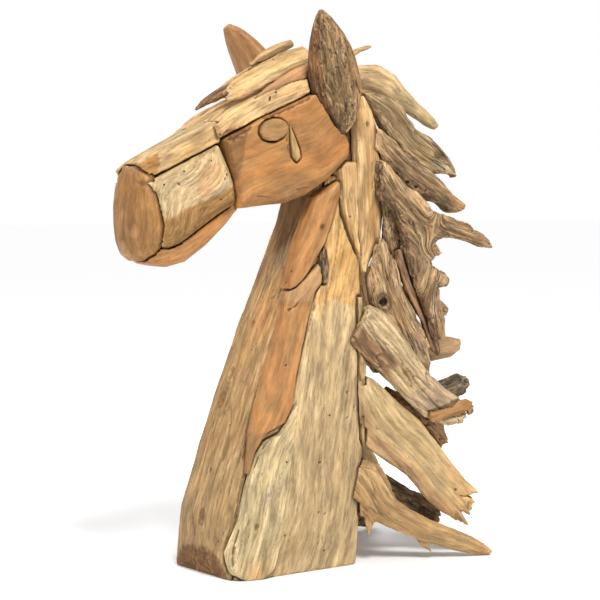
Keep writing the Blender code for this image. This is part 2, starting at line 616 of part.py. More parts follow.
clear_scene()
add_floor()
build_eyes()
build_ears()
build_forelock()
build_muzzle()
build_cheeks()
build_neck_face()
build_neck_logs()
build_near_mane()
build_inner_mane()
build_far_mane()
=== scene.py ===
import itertools
import math

import bmesh
import bpy
import numpy as np
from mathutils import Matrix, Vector
from mathutils.bvhtree import BVHTree


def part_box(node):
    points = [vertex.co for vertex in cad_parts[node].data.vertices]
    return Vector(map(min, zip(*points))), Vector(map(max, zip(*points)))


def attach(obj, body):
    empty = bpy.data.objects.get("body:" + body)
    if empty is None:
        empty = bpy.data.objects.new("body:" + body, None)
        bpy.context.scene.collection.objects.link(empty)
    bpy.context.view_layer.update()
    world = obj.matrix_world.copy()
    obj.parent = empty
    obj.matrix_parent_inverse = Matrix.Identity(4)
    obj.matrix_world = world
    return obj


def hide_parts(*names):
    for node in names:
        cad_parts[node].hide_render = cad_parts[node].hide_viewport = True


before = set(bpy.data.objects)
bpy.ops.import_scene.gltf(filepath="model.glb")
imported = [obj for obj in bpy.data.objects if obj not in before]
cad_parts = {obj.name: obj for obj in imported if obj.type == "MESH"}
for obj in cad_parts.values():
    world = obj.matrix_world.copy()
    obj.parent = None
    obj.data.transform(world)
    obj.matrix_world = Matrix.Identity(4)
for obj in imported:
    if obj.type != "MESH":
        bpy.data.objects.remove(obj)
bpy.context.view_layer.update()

scene = bpy.context.scene
MM = 0.001
WELD = 0.01 * MM

# Camera, worked out from the photograph's perspective.
PHOTO_WIDTH = 600.0         # pixels
FOCAL_PIXELS = 1661.0       # focal length in those pixels
SENSOR = 36.0
CAMERA_TURN = math.radians(35)
CAMERA_TILT = math.radians(3.57)
CAMERA_SPOT = Vector((-1.511, -2.263, 0.606))

# How a skin is made and measured, in millimetres.
JOINT_REACH = 4.5           # dirt and painted shade gather this near to the next piece
THIN = 14.0                 # relief fades on wood thinner than this
FLOOR_CLEAR = 0.2           # the skin stays this far above the floor
MANE_FULLER = 2.0           # the mane's limbs are rounder than their faceted solids
GRAIN_SLICES = 14           # parts along a piece in which its grain is centred, so that it bends with it
ROOT_TO_TIP = (1, 0, -0.4)  # the grain counts upwards this way
SPRING = 1.02               # share of each easing that is given back, so that a piece keeps its size
ARRIS_ROUNDS = 10           # an arris stands out from the surface eased this often
ARRIS_HEIGHT = 1.2          # and is full where it stands out this far
RELIEF_ROUNDS = 3           # the finest relief stands out from the surface eased this often
DEEPEST = 100.0             # wood counts as this thick where no far side is met
BRANCH_NEAR = (60, 30)      # trunk grain gives way to a branch's between these distances off its axis

# Random fields: these are added to a piece's own seed.
LAYER_SEED, CHIP_SEED, BORDER_SEED, FIBRE_SEED, CRACK_SEED, PATCH_SEED, SWIRL_SEED, PIT_SEED = \
    7, 33, 40, 60, 70, 80, 90, 91


# Colour and noise.

def linear(code):
    """Turn an sRGB hex colour to linear red, green and blue."""
    channels = [int(code[i:i + 2], 16) / 255 for i in (0, 2, 4)]
    return np.array([c / 12.92 if c <= 0.04045 else ((c + 0.055) / 1.055) ** 2.4 for c in channels])


def ramp(value, low, high):
    """Rise smoothly from 0 at low to 1 at high, or fall where low is above high."""
    share = np.clip((value - low) / (high - low), 0, 1)
    return share * share * (3 - 2 * share)


def hashed(cells, seed):
    """Repeatable numbers between 0 and 1, one for each row of three whole numbers."""
    mixed = cells[:, 0] * 73856093 ^ cells[:, 1] * 19349663 ^ cells[:, 2] * 83492791 ^ (seed * 97531)
    mixed = (mixed ^ (mixed >> 15)) * 2246822519
    mixed = (mixed ^ (mixed >> 13)) * 3266489917
    return ((mixed ^ (mixed >> 16)) & 0xFFFFFF) / 0xFFFFFF


def noise(places, seed):
    """Smooth noise between -1 and 1 whose lumps are about one unit wide."""
    base = np.floor(places).astype(np.int64)
    share = places - base
    share = share * share * (3 - 2 * share)
    total = np.zeros(len(places))
    for corner in itertools.product((0, 1), repeat=3):
        weight = np.prod(np.where(corner, share, 1 - share), axis=1)
        total += weight * hashed(base + np.array(corner), seed)
    return 2 * total - 1


def layered(places, seed):
    """Noise in three sizes, each half as wide and half as strong as the one before."""
    return (noise(places, seed) + noise(places * 2, seed + 1) / 2 + noise(places * 4, seed + 2) / 4) / 1.4


# The skin of one piece.

def even_mesh(node, step):
    """Copy a node's solid as one closed skin of even squares."""
    solid = bmesh.new()
    solid.from_mesh(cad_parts[node].data)
    bmesh.ops.remove_doubles(solid, verts=solid.verts, dist=WELD)
    data = bpy.data.meshes.new(node)
    solid.to_mesh(data)
    solid.free()
    item = bpy.data.objects.new(node + "_solid", data)
    scene.collection.objects.link(item)
    squares = item.modifiers.new("squares", "REMESH")
    squares.mode = "VOXEL"
    squares.voxel_size = step * MM
    graph = bpy.context.evaluated_depsgraph_get()
    skin = bpy.data.meshes.new_from_object(item.evaluated_get(graph))
    bpy.data.objects.remove(item)
    return skin


def vectors(rows, field):
    """Read a field of three numbers from every row of a mesh."""
    values = np.zeros(len(rows) * 3, np.float32)
    rows.foreach_get(field, values)
    return values.reshape(-1, 3).astype(float)


def eased(points, edges, rounds, spring):
    """Smooth points over their edges; spring pushes back, so that the form keeps its size."""
    first, second = edges.T
    count = np.bincount(edges.ravel(), minlength=len(points))[:, None]
    for push in (0.5, -0.5 * spring) * rounds:
        totals = [np.bincount(first, points[second, axis], len(points))
                  + np.bincount(second, points[first, axis], len(points)) for axis in range(3)]
        points = points + push * (np.column_stack(totals) / count - points)
    return points


def tree_of(nodes):
    """Search tree over the solids of several nodes."""
    corners, faces, start = [], [], 0
    for node in nodes:
        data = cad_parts[node].data
        corners.append(vectors(data.vertices, "co"))
        faces += [tuple(corner + start for corner in face.vertices) for face in data.polygons]
        start += len(data.vertices)
    return BVHTree.FromPolygons(np.vstack(corners).tolist(), faces)


def neighbours(node, reach):
    """Name the nodes whose boxes come within reach of a node's box."""
    low, high = (np.array(corner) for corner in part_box(node))
    near = []
    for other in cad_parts:
        other_low, other_high = (np.array(corner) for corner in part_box(other))
        if other != node and np.all(low < other_high + reach) and np.all(other_low < high + reach):
            near.append(other)
    return near


class Skin:
    """One piece while it is worked. Lengths are millimetres, and grain runs along, across, across."""

    def __init__(self, node, step, rounds):
        self.node = node
        self.seed = sum(ord(letter) * place for place, letter in enumerate(node, 3))
        self.data = even_mesh(node, step * (1))
        pairs = np.zeros(len(self.data.edges) * 2, np.int32)
        self.data.edges.foreach_get("vertices", pairs)
        self.edges = pairs.reshape(-1, 2)
        self.mm = eased(vectors(self.data.vertices, "co") / MM, self.edges, rounds, SPRING)
        self.read_normals()
        self.arris = np.clip(self.bulge(ARRIS_ROUNDS) / ARRIS_HEIGHT, 0, 1)
        self.lay_grain()
        self.measure()
        self.dirt_and_shade = np.zeros(len(self.mm))
        self.tint = np.zeros((len(self.mm), 4))

    def read_normals(self):
        """Put the points into the mesh and read which way each one faces."""
        self.data.vertices.foreach_set("co", (self.mm * MM).astype(np.float32).ravel())
        self.data.update()
        self.normals = vectors(self.data.vertex_normals, "vector")

    def bulge(self, rounds):
        """How far each point stands out from its surroundings."""
        return np.sum((self.mm - eased(self.mm, self.edges, rounds, 0)) * self.normals, axis=1)

    def lay_grain(self, slices=GRAIN_SLICES):
        """Run the grain along the piece's longest way and let it follow the bend."""
        middle = self.mm.mean(axis=0)
        self.ways = np.linalg.eigh(np.cov((self.mm - middle).T))[1][:, ::-1].T
        if self.ways[0] @ ROOT_TO_TIP < 0:
            self.ways[0] = -self.ways[0]
        if self.ways[1][2] > 0:
            self.ways[1] = -self.ways[1]
        grain = (self.mm - middle) @ self.ways.T
        along = grain[:, 0]
        marks = np.linspace(along.min(), along.max(), slices + 1)
        middles = (marks[1:] + marks[:-1]) / 2
        slot = np.clip(np.digitize(along, marks) - 1, 0, slices - 1)
        amount = np.maximum(np.bincount(slot, minlength=slices), 1)
        for axis in (1, 2):
            centre = np.bincount(slot, grain[:, axis], slices) / amount
            centre = np.convolve(np.pad(centre, 1, "edge"), (0.25, 0.5, 0.25), "valid")
            grain[:, axis] -= np.interp(along, middles, centre)
        reach = [np.abs(grain[slot == index, 1]).max(initial=1) for index in range(slices)]
        self.grain = grain
        self.off_middle = grain[:, 1] / np.interp(along, middles, reach)

    def turn_grain(self, fork, tip, reach):
        """Let the grain run from the fork to the tip of a branch, past a soft bend."""
        fork, tip = np.array(fork, float), np.array(tip, float)
        ahead = (tip - fork) / np.linalg.norm(tip - fork)
        away = self.mm - fork
        start = self.grain[np.argmin(np.linalg.norm(away, axis=1))]
        frame_ways = np.array([ahead, np.cross(self.ways[2], ahead), self.ways[2]])
        off = np.linalg.norm(away - (away @ ahead)[:, None] * ahead, axis=1)
        share = (ramp(away @ ahead, 0, reach) * ramp(off, *BRANCH_NEAR))[:, None]
        self.grain = self.grain * (1 - share) + (start + away @ frame_ways.T) * share

    def measure(self):
        """Find how thick the wood is under each point, and how near the next piece is."""
        own = tree_of([self.node])
        near = neighbours(self.node, JOINT_REACH * MM)
        others = tree_of(near) if near else None
        self.room = np.full(len(self.mm), DEEPEST)
        self.seam = np.zeros(len(self.mm))
        for index, (point, normal) in enumerate(zip(self.mm * MM, self.normals)):
            hit = own.ray_cast(Vector(point - normal * MM), Vector(-normal), DEEPEST * MM)
            if hit[3] is not None:
                self.room[index] = hit[3] / MM + 1
            if others:
                found = others.find_nearest(Vector(point), JOINT_REACH * MM)
                if found[3] is not None:
                    self.seam[index] = 1 - found[3] / (JOINT_REACH * MM)

    def press(self, depth):
        """Sink the surface by a depth, less where the wood is thin."""
        keep = ramp(self.room, 0, THIN)
        self.mm = self.mm - self.normals * (depth * keep)[:, None]

    def stain(self, colour, mask):
        """Lay a colour over the wood where the mask is near 1."""
        share = np.clip(mask + np.zeros(len(self.mm)), 0, 1)[:, None]
        self.tint[:, :3] = self.tint[:, :3] * (1 - share) + linear(colour) * share
        self.tint[:, 3:] = np.maximum(self.tint[:, 3:], share)

    def soil_and_shade(self, mask):
        """Darken the wood where the mask is near 1: soiling and dark marks, and painted shade in grooves, pits
        and other hollows.
        """
        self.dirt_and_shade = np.maximum(self.dirt_and_shade, mask)

    def wavy(self, size, strength, stretch=1.0):
        """Noise to make the border of a mask uneven, stretched along the grain."""
        seed = self.seed + BORDER_SEED + round(size)
        return strength * layered(self.grain / (size * stretch, size, size), seed)

    def near(self, spot, radius, stretch=1.0):
        """Mask of 1 at a spot, falling to 0 at a radius, and stretched along the grain."""
        away = self.mm - np.array(spot)
        along = away @ self.ways[0]
        across = np.linalg.norm(away - along[:, None] * self.ways[0], axis=1)
        return ramp(np.hypot(along / stretch, across), radius, 0)

    def hole(self, spot, radius, deep=4.0):
        """Bore a worm hole or an open knot."""
        mask = ramp(np.linalg.norm(self.mm - np.array(spot), axis=1), radius, 0.6 * radius)
        self.mm = self.mm - self.normals * (mask * deep)[:, None]
        self.soil_and_shade(mask)

    def crack(self, run, width, deep=3.0):
        """Split the wood along a run of points."""
        away = np.full(len(self.mm), 1000.0)
        for start, end in zip(run, run[1:]):
            start, step = np.array(start, float), np.subtract(end, start).astype(float)
            share = np.clip((self.mm - start) @ step / (step @ step), 0, 1)
            away = np.minimum(away, np.linalg.norm(self.mm - start - share[:, None] * step, axis=1))
        mask = ramp(away + 0.5 * width * layered(self.mm / 6, self.seed + CRACK_SEED), width, 0.4 * width)
        self.mm = self.mm - self.normals * (mask * deep)[:, None]
        self.soil_and_shade(mask)

    def knot(self, spot, radius, colour="8a5a30"):
        """Grow a knot: the grain parts round it, and its heart is ringed, dark and a little sunk."""
        away = self.mm - np.array(spot)
        along, across = away @ self.ways[0], away @ self.ways[1]
        pull = np.exp(-(along / (3.2 * radius)) ** 2 - (across / (1.6 * radius)) ** 2)
        self.grain[:, 1] -= pull * np.clip(across, -radius, radius) * 0.85
        span = np.hypot(along / 1.5, across) / radius
        span[np.linalg.norm(away, axis=1) > 3 * radius] = 9
        self.press(1.8 * ramp(span, 0.75, 0.2) - 0.8 * ramp(np.abs(span - 1.0), 0.45, 0))
        self.stain(colour, 0.75 * ramp(span, 1.4, 0.5))
        self.soil_and_shade(0.8 * ramp(np.abs(span - 0.72), 0.16, 0))
        self.soil_and_shade(0.75 * ramp(span, 0.34, 0.1))

    def work(self, spec, strength):
        """Cut a wood's layers, each along and across the grain, darken the grooves and pits with soiling and
        painted shade, and wear its arrises.
        """
        depth = np.zeros(len(self.mm))
        for index, (kind, deep, along, across, share) in enumerate(spec["layers"]):
            field = layered(self.grain / (along, across, across), self.seed + LAYER_SEED * index)
            wide = self.grain / (2 * along, 4 * across, 4 * across)
            patch = ramp(layered(wide, self.seed + PATCH_SEED + index), -0.35, 0.25)
            if kind == "swell":
                cut = 0.5 + 0.5 * field
            elif kind == "flute":
                cut = np.clip(np.abs(field) / share, 0, 1) ** 0.7
            elif kind == "groove":
                cut = patch * np.clip(1 - np.abs(field) / share, 0, 1)
            else:
                cut = patch * ramp(field, share, share + 0.25)
            depth += deep * cut * strength
            # Painted shade, with some soiling: grooves and pits are darkened the deeper they are cut.
            if kind in ("groove", "pit"):
                self.soil_and_shade(cut * min(0.95, 0.22 * deep * strength))
        chips = 0.35 + np.clip(layered(self.grain / (16, 7, 7), self.seed + CHIP_SEED), -0.3, 1)
        depth += spec["ragged"] * self.arris * chips * 2
        fuller = depth.mean() + (MANE_FULLER if self.node.startswith("mane") else 0)
        self.press(depth - fuller * (1 - self.seam))

    def tear(self, reach, deep, end=1):
        """Break an end into fibres of uneven length."""
        along = self.grain[:, 0]
        tip = along.max() if end > 0 else along.min()
        fibres = 0.5 + layered(self.grain * (0, 0.15, 0.15), self.seed + FIBRE_SEED)
        pull = ramp(np.abs(along - tip), reach, 0) * np.clip(fibres, 0, 1) * deep * end
        self.mm = self.mm - pull[:, None] * self.ways[0]

    def finish(self, wood_name):
        """Write the points and what the wood reads, and hang the piece in the frame."""
        self.mm[:, 2] = np.maximum(self.mm[:, 2], FLOOR_CLEAR)
        self.read_normals()
        relief = self.bulge(RELIEF_ROUNDS)
        # Painted shade: the hollows of the finished relief are darkened.
        self.soil_and_shade(0.8 * ramp(-relief, 0.12, 0.7))
        for name, kind, field, values in (("grain", "FLOAT_VECTOR", "vector", self.grain * MM),
                                          ("dirt_and_shade", "FLOAT", "value", self.dirt_and_shade),
                                          ("wear", "FLOAT", "value", ramp(relief, 0.05, 0.6)),
                                          ("seam", "FLOAT", "value", self.seam ** 2),
                                          ("tint", "FLOAT_COLOR", "color", self.tint)):
            layer = self.data.attributes.new(name, kind, "POINT")
            layer.data.foreach_set(field, values.astype(np.float32).ravel())
        self.data.shade_smooth()
        self.data.materials.clear()
        self.data.materials.append(wood(wood_name))
        piece = bpy.data.objects.new(self.node + "_wood", self.data)
        scene.collection.objects.link(piece)
        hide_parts(self.node)
        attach(piece, "root")


# Woods. Colours are dark, middle and light grain, a second tone in bands, weathered grey and crack.
# Contrast is how strongly the grain shows, fibre the length and width of a grain line, ring the
# spacing of the growth rings. Greyed, cracked and holed are thresholds: lower means more of it.
# Layers: kind, depth, length, width, and how much of the surface is cut.

WOODS = {
    # Sanded teak heartwood: smooth and tan to orange, with soft mottling and few open pores.
    "sanded_heartwood": dict(
        tones=("82592f", "a47544", "ba8953"), band="ab6f3a", grey="987449", crack="4f3119",
        contrast=0.45, lines=0.02, fibre=(40, 5.0), ring=6.0, greyed=0.60, cracked=0.66, holed=0.93,
        roughness=0.52, bump=0.2, ragged=0.35,
        layers=[("swell", 1.6, 60, 42, 0), ("groove", 0.6, 90, 24, 0.06)]),
    # Fresh orange heartwood, sawn and sanded: the warmest wood, with reddish bands.
    "orange_heartwood": dict(
        tones=("8e5f2e", "aa7a49", "c2935c"), band="a5703e", grey="9e7a4c", crack="4a2a14",
        contrast=0.5, lines=0.02, fibre=(50, 5.0), ring=5.0, greyed=0.62, cracked=0.62, holed=0.90,
        roughness=0.5, bump=0.25, ragged=0.5,
        layers=[("swell", 1.8, 80, 36, 0), ("groove", 0.9, 120, 18, 0.08)]),
    # Golden plank, lightly sanded: straight, even grain with amber bands.
    "golden_plank": dict(
        tones=("a27d50", "cba673", "e2c48d"), band="c8945a", grey="b39a72", crack="553a20",
        contrast=0.75, lines=0.03, fibre=(70, 4.0), ring=5.0, greyed=0.58, cracked=0.60, holed=0.86,
        roughness=0.6, bump=0.4, ragged=0.9,
        layers=[("swell", 2.4, 90, 30, 0), ("groove", 1.4, 140, 13, 0.2), ("groove", 1.8, 110, 26, 0.14),
                ("pit", 1.0, 26, 8, 0.5)]),
    # Sun-bleached cream wood: dry, with open cracks and worm holes.
    "bleached_wood": dict(
        tones=("a8875a", "d6b787", "f0d7a8"), band="d3ac74", grey="b5a083", crack="4b3823",
        contrast=0.8, lines=0.03, fibre=(50, 4.0), ring=6.0, greyed=0.55, cracked=0.56, holed=0.80,
        roughness=0.78, bump=0.6, ragged=1.0,
        layers=[("swell", 2.6, 80, 30, 0), ("groove", 1.4, 120, 11, 0.22), ("groove", 2.4, 100, 24, 0.09),
                ("pit", 1.6, 22, 7, 0.4)]),
    # Weathered log: raised straight grain, tan with grey veils and short dark flecks.
    "weathered_log": dict(
        tones=("94744a", "c29f6e", "dfc391"), band="c4985f", grey="b8a17c", crack="4d3823",
        contrast=0.7, lines=0.02, fibre=(45, 5.0), ring=7.0, greyed=0.53, cracked=0.60, holed=0.88,
        roughness=0.8, bump=0.6, ragged=0.8,
        layers=[("swell", 3.4, 90, 40, 0), ("groove", 0.9, 110, 11, 0.3), ("groove", 2.0, 150, 34, 0.13),
                ("pit", 1.2, 20, 7, 0.42)]),
    # Grey driftwood: soft wood eaten away between hard fibres, which leaves flutes and pits.
    "grey_driftwood": dict(
        tones=("6b4d31", "b08d64", "d6b88f"), band="98734a", grey="aa967a", crack="2f2115",
        contrast=1.2, lines=0.03, fibre=(60, 3.6), ring=8.0, greyed=0.52, cracked=0.50, holed=0.82,
        roughness=0.86, bump=0.9, ragged=1.8,
        layers=[("swell", 4.0, 90, 30, 0), ("flute", 2.6, 110, 15, 0.5), ("groove", 3.2, 130, 17, 0.16),
                ("groove", 1.5, 70, 7, 0.2), ("pit", 2.6, 30, 10, 0.3)]),
    # Root bark: dark, knobbly and crusted.
    "root_bark": dict(
        tones=("3c2c1d", "7d6042", "ab9068"), band="6a5038", grey="8d7f69", crack="1c130d",
        contrast=1.3, lines=0.02, fibre=(20, 4.0), ring=9.0, greyed=0.50, cracked=0.45, holed=0.85,
        roughness=0.92, bump=1.1, ragged=2.0,
        layers=[("swell", 5.0, 34, 20, 0), ("flute", 2.2, 40, 12, 0.5), ("groove", 3.0, 46, 14, 0.24),
                ("pit", 3.0, 16, 9, 0.25)]),
    # Red-brown weathered heartwood, from deep inside the root.
    "red_brown_heartwood": dict(
        tones=("573a28", "8b6649", "b8946e"), band="7a5038", grey="85705c", crack="2b1a10",
        contrast=1.1, lines=0.04, fibre=(55, 3.0), ring=6.0, greyed=0.56, cracked=0.5, holed=0.88,
        roughness=0.82, bump=0.7, ragged=1.4,
        layers=[("swell", 3.0, 90, 24, 0), ("groove", 2.2, 110, 9, 0.18), ("pit", 1.6, 24, 7, 0.36)]),
}
RING_HEART = (0.0, 0.035, 0.05)     # where the log's heart lay beside a piece, in metres
RING_STRETCH = (0.08, 1, 1)         # rings are drawn out along the grain
RING_WIDTH = 0.314                  # width of one ring of the wave texture at a scale of 1
BLOTCH = (55 * MM, 15 * MM)         # length and width of the largest blotches
DARKEST, LIGHTEST = 0.36, 0.64      # levels of a field of noise between which the wood changes tone
HOLE_SCALE = 55.0                   # cells for worm holes per metre
GRIME_AND_SHADE, JOINT_SHADE = 0.78, 0.6      # how dark the soiling with painted shade in hollows, and at joints, is at most
MIX_FACTOR, MIX_NUMBER_A, MIX_NUMBER_B, MIX_A, MIX_B, MIX_OUT = 0, 2, 3, 6, 7, 2   # sockets of a mix


def add(tree, kind, inputs, **settings):
    """Add one node with its settings, values and links."""
    node = tree.nodes.new(kind)
    for key, value in settings.items():
        setattr(node, key, value)
    for key, value in inputs.items():
        if isinstance(value, bpy.types.NodeSocket):
            tree.links.new(value, node.inputs[key])
        else:
            node.inputs[key].default_value = value
    return node


def maths(tree, operation, *values):
    """Do one sum with numbers and sockets."""
    return add(tree, "ShaderNodeMath", dict(enumerate(values)), operation=operation).outputs[0]


def scaled(tree, vector, factor):
    """Multiply a place or a colour by a number or by another three."""
    return add(tree, "ShaderNodeVectorMath", {0: vector, 1: factor}, operation="MULTIPLY").outputs[0]


def mapped(tree, value, start, end, low=0.0, high=1.0):
    """Carry a value's span from start to end over to the span from low to high."""
    return add(tree, "ShaderNodeMapRange",
               {"Value": value, "From Min": start, "From Max": end, "To Min": low, "To Max": high}).outputs[0]


def laid(tree, share, under, over):
    """Lay one colour over another by a share."""
    return add(tree, "ShaderNodeMix", {MIX_FACTOR: share, MIX_A: under, MIX_B: over},
               data_type="RGBA").outputs[MIX_OUT]


def wood(name):
    """Build a wood once: grain, rings, bands, grey veils, stains, soiling with painted shade, cracks and worm
    holes.
    """
    made = bpy.data.materials.get(name)
    if made:
        return made
    spec = WOODS[name]
    contrast = spec["contrast"]
    made = bpy.data.materials.new(name)
    made.use_nodes = True
    tree = made.node_tree
    shader = tree.nodes["Principled BSDF"]
    read = {field: add(tree, "ShaderNodeAttribute", {}, attribute_name=field)
            for field in ("grain", "dirt_and_shade", "wear", "seam", "tint")}
    grain = read["grain"].outputs["Vector"]

    # Fields of noise, each with its length along the grain, its width across it and its detail.
    long, wide = (size * MM for size in spec["fibre"])
    sizes = {
        "fibre": (long, wide, 5), "streak": (3 * long, 2.5 * wide, 3), "band": (3 * long, 7 * wide, 3),
        "veil": (long, 9 * wide, 5), "split": (6 * long, 3 * wide, 2), "fleck": (0.2 * long, 0.7 * wide, 3),
        "blotch": (*BLOTCH, 7), "hair": (0.5 * long, 0.4 * wide, 4),
    }
    fields = {}
    for field, (along, across, detail) in sizes.items():
        place = scaled(tree, grain, (1 / along, 1 / across, 1 / across))
        cloud = add(tree, "ShaderNodeTexNoise",
                    {"Vector": place, "Scale": 1.0, "Detail": detail, "Roughness": 0.62})
        fields[field] = cloud.outputs["Fac"]

    # Growth rings round a heart that lies outside the piece, drawn out along it.
    off_heart = add(tree, "ShaderNodeVectorMath", {0: grain, 1: RING_HEART}, operation="ADD").outputs[0]
    rings = add(tree, "ShaderNodeTexWave",
                {"Vector": scaled(tree, off_heart, RING_STRETCH), "Scale": RING_WIDTH / (spec["ring"] * MM),
                 "Distortion": 9.0, "Detail": 3.0, "Detail Scale": 0.8},
                wave_type="RINGS", rings_direction="X")
    lines = maths(tree, "MULTIPLY_ADD", rings.outputs["Fac"], 2 * spec["lines"], -spec["lines"])
    woven = add(tree, "ShaderNodeMix",
                {MIX_FACTOR: 0.45, MIX_NUMBER_A: fields["fibre"], MIX_NUMBER_B: fields["streak"]}).outputs[0]
    spread = maths(tree, "MULTIPLY_ADD", woven, contrast, 0.5 - 0.5 * contrast)
    figure = maths(tree, "ADD", spread, lines)

    tones = add(tree, "ShaderNodeValToRGB", {"Fac": figure})
    stops = tones.color_ramp.elements
    stops.new(0.5)
    for stop, place, tone in zip(stops, (DARKEST, 0.5, LIGHTEST), spec["tones"]):
        stop.position = place
        stop.color = (*linear(tone), 1)
    colour = tones.outputs["Color"]
    for field, low, high, tone, most in (("band", 0.45, 0.62, "band", 0.55),
                                         ("veil", spec["greyed"], 0.72, "grey", 0.6)):
        share = mapped(tree, fields[field], low, high, 0.0, most)
        colour = laid(tree, share, colour, (*linear(spec[tone]), 1))

    # A stain keeps the grain: its colour is darkened and lightened by the same figure.
    shade = mapped(tree, figure, DARKEST, LIGHTEST, 0.66, 1.24)
    stained = scaled(tree, read["tint"].outputs["Color"], shade)
    colour = laid(tree, read["tint"].outputs["Alpha"], colour, stained)

    # Ridges are worn to paler wood, and blotches darken and lighten all of it.
    worn = maths(tree, "MULTIPLY", read["wear"].outputs["Fac"], 0.3)
    colour = laid(tree, worn, colour, (*linear(spec["tones"][2]), 1))
    blotch = mapped(tree, fields["blotch"], DARKEST, LIGHTEST, 0.86 - 0.22 * contrast, 1.14 + 0.22 * contrast)
    colour = scaled(tree, colour, blotch)

    # Flecks, fine dark hairs, cracks along the middle level of a field, and worm holes in a few cells.
    fleck = mapped(tree, fields["fleck"], 0.62, 0.72, 0.0, 0.5 * contrast)
    hair = mapped(tree, fields["hair"], 0.55, 0.62, 0.0, 0.5 * contrast)
    off_line = maths(tree, "ABSOLUTE", maths(tree, "SUBTRACT", fields["split"], 0.5))
    line = mapped(tree, off_line, 0.018, 0.005)
    where = mapped(tree, fields["veil"], spec["cracked"], spec["cracked"] + 0.06, 0.0, 0.7 * contrast)
    crack = maths(tree, "MULTIPLY", line, where)
    cells = add(tree, "ShaderNodeTexVoronoi", {"Vector": grain, "Scale": HOLE_SCALE})
    bore = mapped(tree, cells.outputs["Distance"], 0.12, 0.08)
    pick = add(tree, "ShaderNodeSeparateColor", {"Color": cells.outputs["Color"]}).outputs[0]
    holes = maths(tree, "MULTIPLY", bore, maths(tree, "GREATER_THAN", pick, spec["holed"]))
    # Soiling and painted shade in hollows darken the wood.
    grime_and_shade = maths(tree, "MULTIPLY", read["dirt_and_shade"].outputs["Fac"], GRIME_AND_SHADE)
    # Painted shade, with dirt, near the next piece: joints are darkened.
    joint = maths(tree, "MULTIPLY", read["seam"].outputs["Fac"], JOINT_SHADE)
    dark = fleck
    for other in (hair, crack, holes, grime_and_shade, joint):
        dark = maths(tree, "MAXIMUM", dark, other)
    colour = laid(tree, dark, colour, (*linear(spec["crack"]), 1))
    tree.links.new(colour, shader.inputs["Base Color"])

    high = maths(tree, "SUBTRACT", figure, dark)
    bump = add(tree, "ShaderNodeBump", {"Height": high, "Strength": 0.9, "Distance": 1.6 * spec["bump"] * MM})
    tree.links.new(bump.outputs[0], shader.inputs["Normal"])
    roughest = min(1.0, spec["roughness"] + 0.12)
    rough = mapped(tree, figure, DARKEST, LIGHTEST, roughest, spec["roughness"] - 0.06)
    tree.links.new(rough, shader.inputs["Roughness"])
    shader.inputs["IOR"].default_value = 1.5
    shader.inputs["Specular IOR Level"].default_value = 0.3
    return made


# What only one piece shows.

def show_cheek(skin):
    """Darker at the front and low on the jaw, with the open joint under the brow."""
    x, z = skin.mm[:, 0], skin.mm[:, 2]
    front = x + 97 - 0.18 * (z - 590)
    skin.stain("8a6136", 0.8 * ramp(front + skin.wavy(14, 2), -6, -12))
    skin.stain("967046", 0.6 * skin.near((-10, -85, 606), 46, 1.6) * (1 + skin.wavy(20, 0.8)))
    skin.stain("c98d56", 0.6 * skin.near((60, -85, 700), 60))
    if skin.node == "cheek_left":
        skin.crack([(-124, -72, 697), (-104, -78, 705), (-84, -81, 712)], 12, 4)
        skin.crack([(-48, -78, 731), (-10, -82, 748), (29, -86, 766)], 8, 4)
        skin.crack([(-13, -87, 706), (-3, -86, 672)], 3, 5)
        skin.crack([(-66, -82, 607), (-30, -84, 602)], 1.6, 1)
        skin.crack([(8, -86, 617), (38, -87, 622)], 1.6, 1)


def show_brow(skin):
    """Dark gaps where the plank does not close on the cheek."""
    skin.crack([(-126, -69, 697), (-104, -76, 705), (-82, -81, 713)], 8, 5)
    skin.crack([(-48, -78, 731), (-10, -82, 748), (29, -86, 763)], 5, 4)


def show_muzzle(skin):
    """Bleached above with a leaf-shaped hollow, sanded and orange below."""
    x, z = skin.mm[:, 0], skin.mm[:, 2]
    border = z - (590 + 0.42 * (x + 185)) + skin.wavy(22, 9)
    smooth = ramp(border, 4, -8)
    skin.stain("906634", 0.95 * smooth)
    skin.dirt_and_shade *= 1 - 0.8 * smooth
    skin.stain("cdae7c", 0.8 * skin.near((-125, -74, 665), 40, 1.6))
    hollow = skin.near((-147, -73, 631), 26, 1.9)
    skin.press(3.2 * hollow)
    skin.stain("b58659", 0.75 * ramp(hollow, 0.1, 0.4))
    skin.soil_and_shade(0.55 * ramp(np.abs(hollow - 0.12), 0.1, 0) * ramp(skin.wavy(12, 1.0), -0.3, 0.3))
    rough = skin.near((-180, -70, 640), 44) * ramp(skin.wavy(5, 1.0, 2), 0.1, 0.5)
    skin.press(1.4 * rough)
    skin.soil_and_shade(0.5 * rough)
    for spot in ((-198, -66, 625), (-153, -72, 625), (-120, -74, 633)):
        skin.hole(spot, 2.6, 3)


def show_nose(skin):
    skin.stain("a27440", 0.85)
    skin.stain("80572a", 0.6 * ramp(skin.wavy(50, 1.0), 0.0, 0.5))
    skin.stain("b98e58", 0.6 * ramp(skin.wavy(30, 1.0), 0.1, 0.5))


def show_bridge(skin):
    """The front end was sawn off across the grain and shows fresh orange wood."""
    skin.stain("ab7b42", 0.95 * ramp(skin.mm[:, 0] + skin.wavy(10, 3), -222, -227))
    # Painted light: faces that turn upwards are lightened to pale cream.
    skin.stain("d9bd8c", 0.6 * ramp(skin.normals[:, 2], 0.5, 0.8))
    skin.crack([(-146, -60, 693), (-129, -61, 703), (-118, -61, 708)], 1.8, 2)
    skin.crack([(-205, -52, 662), (-170, -57, 682)], 1.5, 1.5)


